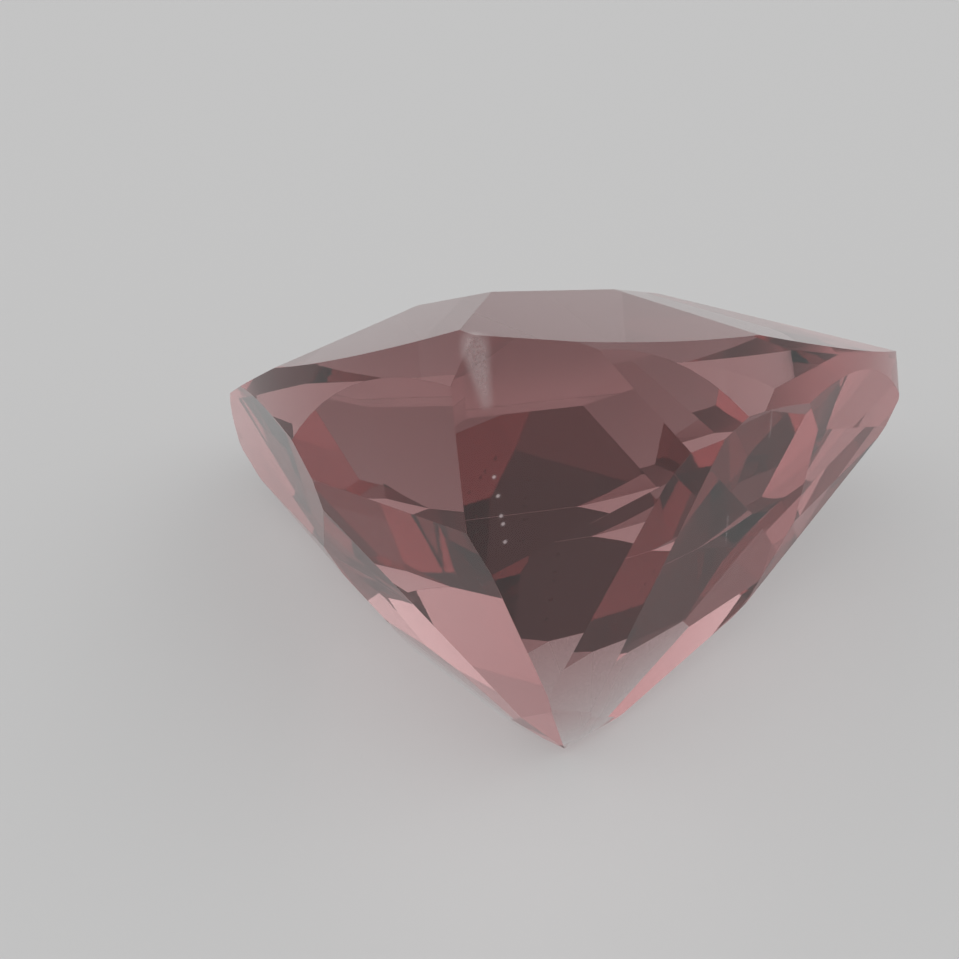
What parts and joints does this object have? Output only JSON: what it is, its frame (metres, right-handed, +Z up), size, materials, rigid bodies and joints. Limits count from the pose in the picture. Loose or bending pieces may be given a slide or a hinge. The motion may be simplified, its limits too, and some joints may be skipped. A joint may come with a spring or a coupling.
{
  "type": "faceted trillion garnet",
  "caption": "Small three-cornered faceted garnet, clear brownish rose, resting on one long lower facet with its point towards the viewer.",
  "frame": {"origin": "centre of the bounding box, at ground level", "axes": "+Z up, +X to the viewer's right, +Y away from the viewer; the stone lies on a main pavilion facet, its crown axis leans back 47.7 degrees from the vertical and its culet points to the viewer and down"},
  "size_m": [0.0096, 0.0072, 0.008],
  "materials": {
    "garnet": "polished facets and girdle, clear brownish rose stone of refractive index about 1.72"
  },
  "bodies": {
    "root": {"garnet": "garnet"}
  },
  "joints": []
}
